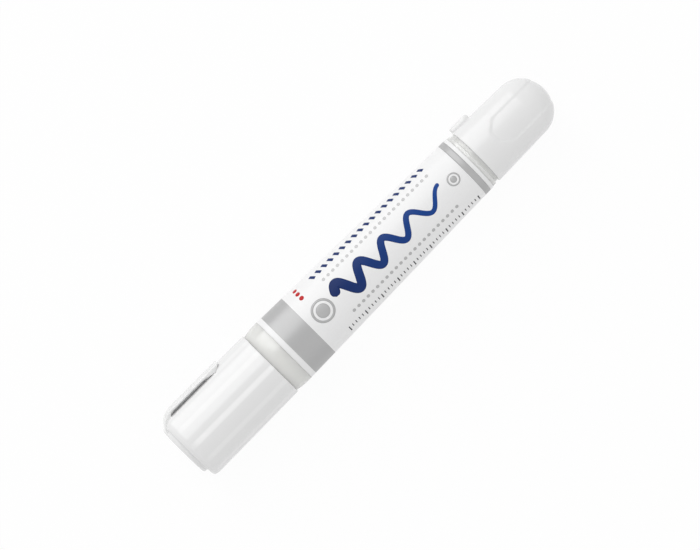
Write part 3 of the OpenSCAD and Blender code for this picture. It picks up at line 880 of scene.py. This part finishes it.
def resampled(points, count):
    """Points spaced evenly along a polyline."""
    points = np.array(points, dtype=float)
    run = np.concatenate([[0.0], np.cumsum(np.linalg.norm(np.diff(points, axis=0), axis=1))])
    spots = np.linspace(0.0, run[-1], count)
    return [(np.interp(at, run, points[:, 0]), np.interp(at, run, points[:, 1])) for at in spots]


def with_ends(rows):
    """Rows of points with a closed end before the first and after the last."""
    ends = [np.repeat(row.mean(axis=0)[None, :], len(row), axis=0) for row in (rows[0], rows[-1])]
    return [ends[0]] + rows + [ends[1]]


def bar_rows(outside, inside, half, soften, place):
    """Rows of points for a flat bar between two side outlines, its long edges rounded, its ends closed."""
    rows = []
    for top, low in zip(outside, inside):
        top = np.array(top)
        low = np.array(low)
        thick = np.linalg.norm(top - low)
        up = (top - low) / thick
        r = min(soften, 0.45 * thick)
        row = []
        for side, level, start in ((1, thick - r, 0), (-1, thick - r, 90), (-1, r, 180), (1, r, 270)):
            for step in np.linspace(0.0, 90.0, 5):
                a = math.radians(start + step)
                at = low + up * (level + r * math.sin(a))
                row.append(place(at[0], side * (half - r) + r * math.cos(a), at[1]))
        rows.append(np.array(row))
    return with_ends(rows)


def joined(name, first, second):
    """One closed skin from two that overlap, with its creases kept sharp."""
    keep = placed(name, first)
    extra = placed(name + "_extra", second)
    union = keep.modifiers.new("Join", "BOOLEAN")
    union.operation = "UNION"
    union.solver = "EXACT"
    union.object = extra
    mesh = baked(keep, name)
    for piece in (keep, extra):
        bpy.data.objects.remove(piece)
    shell = bmesh.new()
    shell.from_mesh(mesh)
    bmesh.ops.remove_doubles(shell, verts=shell.verts, dist=5e-6)
    bmesh.ops.dissolve_degenerate(shell, dist=5e-6, edges=shell.edges)
    bmesh.ops.dissolve_verts(shell, verts=[v for v in shell.verts if len(v.link_edges) == 2])
    shell.to_mesh(mesh)
    shell.free()
    mesh.set_sharp_from_angle(angle=math.radians(40.0))
    return mesh


def on_cap(across, aside, u):
    """Point of the turned thick cap: out toward the clip, to the side, and from the mouth."""
    return (thick_x(u), across * math.cos(cap_turn) - aside * math.sin(cap_turn),
            across * math.sin(cap_turn) + aside * math.cos(cap_turn))


strap_root = 4.4
strap_top = end_u + boss_h - 0.02
bend_off = clip_off - clip_bend_r
bend_u = strap_top - clip_bend_r
strap_out = [(strap_root, strap_top)]
strap_out += [(bend_off + clip_bend_r * math.sin(a), bend_u + clip_bend_r * math.cos(a))
              for a in np.linspace(0.0, quarter, 24)]
strap_in = resampled([(strap_root, end_u - 0.3), (6.5, end_u - 1.0), (8.4, end_u - 2.0), (8.9, end_u - 2.7),
                      (9.35, end_u - 3.1), (clip_in - 0.35, end_u - 3.4), (clip_in - 0.08, end_u - 3.85),
                      (clip_in, end_u - 4.4)], len(strap_out))
for u, under in ((24.0, clip_in), (20.0, clip_in), (16.8, clip_in), (15.6, 10.12), (14.5, 9.88), (13.5, 9.61),
                 (13.0, 9.47), (12.6, 9.42)):
    strap_out.append((clip_off, u))
    strap_in.append((under, u))
strap_out += [(clip_off, u) for u in (12.0, 11.5, 11.0, 10.6)] + [(10.97, 10.32), (10.88, 10.08)]
strap_in += [(9.45, 12.05), (9.62, 11.65), (9.88, 11.25), (10.2, 10.75), (10.44, 10.38), (10.62, 10.12)]
strap_mesh = grid_mesh("strap", bar_rows(strap_out, strap_in, clip_half, clip_soft, on_cap), False)
piece_from("cap_thick", joined("thick_cap", cap_mesh, strap_mesh), cap_ribbed, "thick_cap_unit",
           "cap_plastic", "thick_cap")

# Medium cap
# A glossy white domed moulding. A shallow panel for the fingers starts part way up, runs over the dome and
# down the other side, and a small lug at the mouth keeps the marker from rolling.
cap_white = moulded_plastic("cap_white_plastic", (0.828, 0.828, 0.828), 0.14, mottle=0.015, skin=0.003)
medium_cap_len = 26.4
dome_mouth_r = 9.14
dome_side_r = 8.72
dome_corner_r = 8.0
dome_crown_r = 9.0
dome_bore_r = 8.04
dome_inner_r = 7.34
dome_socket_r = 4.77
panel_half = 4.3
panel_depth = 0.27
panel_u = 7.0
panel_edge = 0.8
panel_blend = 0.6
panel_run = 2.4
panel_rise = 3.0
panel_slant = 3.84
lug_top = 10.42
lug_root = 8.45
lug_len = 6.3
lug_half = 2.0
lug_soft = 1.1
lug_nose = 0.8
crown_u = medium_cap_len + panel_depth - dome_crown_r
corner_off = dome_side_r - dome_corner_r
corner_u = crown_u + math.sqrt((dome_crown_r - dome_corner_r) ** 2 - corner_off ** 2)
corner_turn = math.atan2(corner_u - crown_u, corner_off)
dome = [(dome_crown_r * math.cos(a), crown_u + dome_crown_r * math.sin(a), math.cos(a), math.sin(a))
        for a in np.linspace(quarter, corner_turn, 26)]
dome += [(corner_off + dome_corner_r * math.cos(a), corner_u + dome_corner_r * math.sin(a), math.cos(a),
          math.sin(a)) for a in np.linspace(corner_turn, 0.0, 40)[1:]]
taper = (dome_mouth_r - dome_side_r) / (corner_u - 0.25)
dome += [(dome_side_r + (corner_u - u) * taper, u, 1.0, taper) for u in np.linspace(corner_u, 0.35, 84)[1:]]
dome += [(dome_mouth_r, 0.25, 0.9, -0.4), (9.11, 0.12, 0.7, -0.7), (9.04, 0.03, 0.4, -0.9)]
dome += [(8.94, 0.0, 0.0, -1.0), (8.4, 0.0, 0.0, -1.0), (8.16, 0.0, 0.0, -1.0), (8.08, 0.04, 0.0, -1.0),
         (dome_bore_r, 0.14, 0.0, -1.0)]
inner_u = medium_cap_len - 2.75
dome_inside = [(dome_bore_r, u) for u in (1.0, 3.0, 5.0, 6.8)] + [(8.02, 7.0), (7.4, 7.65)]
dome_inside += [(dome_inner_r, u) for u in (7.8, 10.0, 12.0, 13.5, inner_u - 9.1)]
dome_inside += [(7.3, inner_u - 8.9), (5.07, inner_u - 4.4), (4.8, inner_u - 4.05)]
dome_inside += [(dome_socket_r, inner_u - back) for back in (3.8, 2.5, 0.15)]
dome_inside += [(4.6, inner_u), (2.5, inner_u), (0.0, inner_u)]
dome_rows = []
for r, u, out_r, out_u in dome:
    across = np.abs(r * np.cos(q))
    cut = (panel_run * (u - panel_u) - panel_rise * (across - panel_half + panel_run)) / panel_slant
    sides = soft_min(panel_half - across, np.full(around, u - panel_u), panel_blend)
    inside = soft_min(sides, cut, panel_blend)
    share = np.clip(0.5 + inside / panel_edge, 0.0, 1.0)
    sink = panel_depth * share * share * (3 - 2 * share)
    radius = np.maximum(r - sink * out_r, 0.0)
    dome_rows.append(np.stack([medium_x(u - sink * out_u), radius * np.cos(q), radius * np.sin(q)], axis=1))
dome_rows += turned([(r, medium_x(u)) for r, u in dome_inside], around)
dome_mesh = grid_mesh("medium_cap", dome_rows, False)


def lug_row(aside, inset):
    """Outline of the lug at one place across its width, drawn smaller by the inset."""
    low = 0.06 + 0.3 * inset
    nose_u = lug_len - inset - lug_nose
    top = lug_top - inset
    row = [(lug_root, low), (top - 0.25, low), (top - 0.07, low + 0.07), (top, low + 0.25), (top, nose_u)]
    row += [(top - lug_nose + lug_nose * math.cos(a), nose_u + lug_nose * math.sin(a))
            for a in np.linspace(0.2, quarter, 7)]
    row += [(lug_root, lug_len - inset)]
    return np.array([(medium_x(u), across, aside) for across, u in row])


lug_rows = [lug_row((lug_half - lug_soft) * np.sign(round(math.sin(a), 9)) + lug_soft * math.sin(a),
                    lug_soft * (1 - math.cos(a))) for a in np.linspace(-quarter, quarter, 17)]
lug_mesh = grid_mesh("lug", with_ends(lug_rows), False)
piece_from("cap_medium", joined("medium_cap", dome_mesh, lug_mesh), cap_white, "medium_cap_unit",
           "cap_plastic", "medium_cap")

# Cap liners
# Soft white inner cups, moulded on their own and pressed into the sockets in the closed ends of the caps.
# Their mouths seal on the holders' noses and keep the nibs from drying.
liner_plastic = moulded_plastic("liner_plastic", (0.80, 0.80, 0.79), 0.38, skin=0.005, glow=0.2)
liner_wall = 1.05
liner_floor = 1.0
liner_around = 120


def liner_outline(inner_r, low, back):
    """Outline of a cup from the middle of its outer floor to the middle of its inner floor."""
    outer_r = inner_r + liner_wall
    floor = back - liner_floor
    return rounded([(0.0, back, 0), (outer_r, back, 0.3), (outer_r, low, 0.45), (inner_r, low, 0.35),
                    (inner_r, floor, 0.5), (0.0, floor, 0)])


for end, to_x, inner_r, low, back in (("thick", thick_x, 5.0, 15.5, thick_cap_len - 1.52),
                                      ("medium", medium_x, 3.7, 11.6, medium_cap_len - 2.77)):
    liner_rows = turned([(r, to_x(u)) for r, u in liner_outline(inner_r, low, back)], liner_around)
    piece_from("liner_" + end, grid_mesh("liner_" + end, liner_rows, False), liner_plastic, end + "_cap_unit",
               "liner_plastic", end + "_cap_liner")

# Table top
# A plain white sheet under the thick collar. In the marker's frame it is tipped a little, so that it follows
# the taper and still clears the medium cap when that is pulled off.
sheet_half = 1.5
rest_x = -31.05
rest_z = -10.64
tip = 0.0141
sheet_glow = 0.94
sheet_mirrored = 0.45


def in_sight(tree, mirrored_share):
    """1 where the camera looks straight at a backdrop, a set share where it is mirrored or seen through."""
    path = add(tree, "ShaderNodeLightPath").outputs
    mirrored = maths(tree, "MAXIMUM", path["Is Glossy Ray"], path["Is Transmission Ray"])
    return maths(tree, "MAXIMUM", path["Is Camera Ray"], maths(tree, "MULTIPLY", mirrored, mirrored_share))


floor_mesh = bpy.data.meshes.new("table_top")
floor_mesh.from_pydata([(x * sheet_half, y * sheet_half, (rest_z + (x * sheet_half / mm - rest_x) * tip) * mm)
                        for x, y in ((-1, -1), (1, -1), (1, 1), (-1, 1))], [], [(0, 1, 2, 3)])
table_top = placed("table_top", floor_mesh)
paper, paper_tree, paper_shader = blank_material("white_sheet")
fill(paper_tree, paper_shader, {"Base Color": (0.96, 0.96, 0.96, 1.0), "Roughness": 0.9})
paper_glow = add(paper_tree, "ShaderNodeEmission", {"Color": (1.0, 1.0, 1.0, 1.0)})
paper_share = maths(paper_tree, "MULTIPLY", in_sight(paper_tree, sheet_mirrored), sheet_glow)
paper_mix = add(paper_tree, "ShaderNodeMixShader", {
    "Fac": paper_share, 1: paper_shader.outputs["BSDF"], 2: paper_glow.outputs["Emission"]})
fill(paper_tree, paper_tree.nodes["Material Output"], {"Surface": paper_mix.outputs["Shader"]})
floor_mesh.materials.append(paper)

# Light
# A tall soft box stands on the clip's side and a weak card on the other. A pale room fills the rest, and
# shows as plain white where it is looked at or mirrored.
room = bpy.data.worlds.new("pale_room")
room.use_nodes = True
bpy.context.scene.world = room
room_tree = room.node_tree
room_light = room_tree.nodes["Background"]
fill(room_tree, room_light, {"Color": (1.0, 1.0, 1.0, 1.0), "Strength": 0.715})
room_sky = add(room_tree, "ShaderNodeBackground", {"Color": (1.0, 1.0, 1.0, 1.0), "Strength": 1.0})
room_mix = add(room_tree, "ShaderNodeMixShader", {
    "Fac": in_sight(room_tree, 1.0), 1: room_light.outputs["Background"], 2: room_sky.outputs["Background"]})
fill(room_tree, room_tree.nodes["World Output"], {"Surface": room_mix.outputs["Shader"]})


def lamp(name, wide, tall, energy, place):
    """Rectangular soft light that faces the marker."""
    light = bpy.data.lights.new(name, "AREA")
    light.shape = "RECTANGLE"
    light.size = wide
    light.size_y = tall
    light.energy = energy
    stand = placed(name, light)
    stand.location = place
    stand.rotation_euler = (-stand.location).to_track_quat("-Z", "Y").to_euler()


lamp("soft_box", wide=0.45, tall=2.07, energy=7.2, place=(0.0, 1.061, 0.716))
lamp("fill_card", wide=1.6, tall=1.2, energy=1.1, place=(0.0, -1.06, 0.75))

# Camera
# It looks down on the marker from far off through a long lens, rolled so that the axis runs from lower left
# to upper right.
camera = bpy.data.cameras.new("camera")
camera.sensor_width = 36.0
camera.sensor_fit = "HORIZONTAL"
camera.lens = 224.2
camera.clip_start = 0.01
camera.clip_end = 10.0
viewer = placed("camera", camera)
aim = Vector((-0.00369, 0.00164, 0.0))
stand = Vector((-0.03095, 0.00164, 1.19))
back = (stand - aim).normalized()
roll = math.radians(45.2)
right = Vector((math.cos(roll), -math.sin(roll), 0.0))
right = (right - back * right.dot(back)).normalized()
up = back.cross(right)
viewer.matrix_world = Matrix.Translation(stand) @ Matrix((right, up, back)).transposed().to_4x4()
bpy.context.scene.camera = viewer
bpy.context.scene.view_settings.view_transform = "Standard"
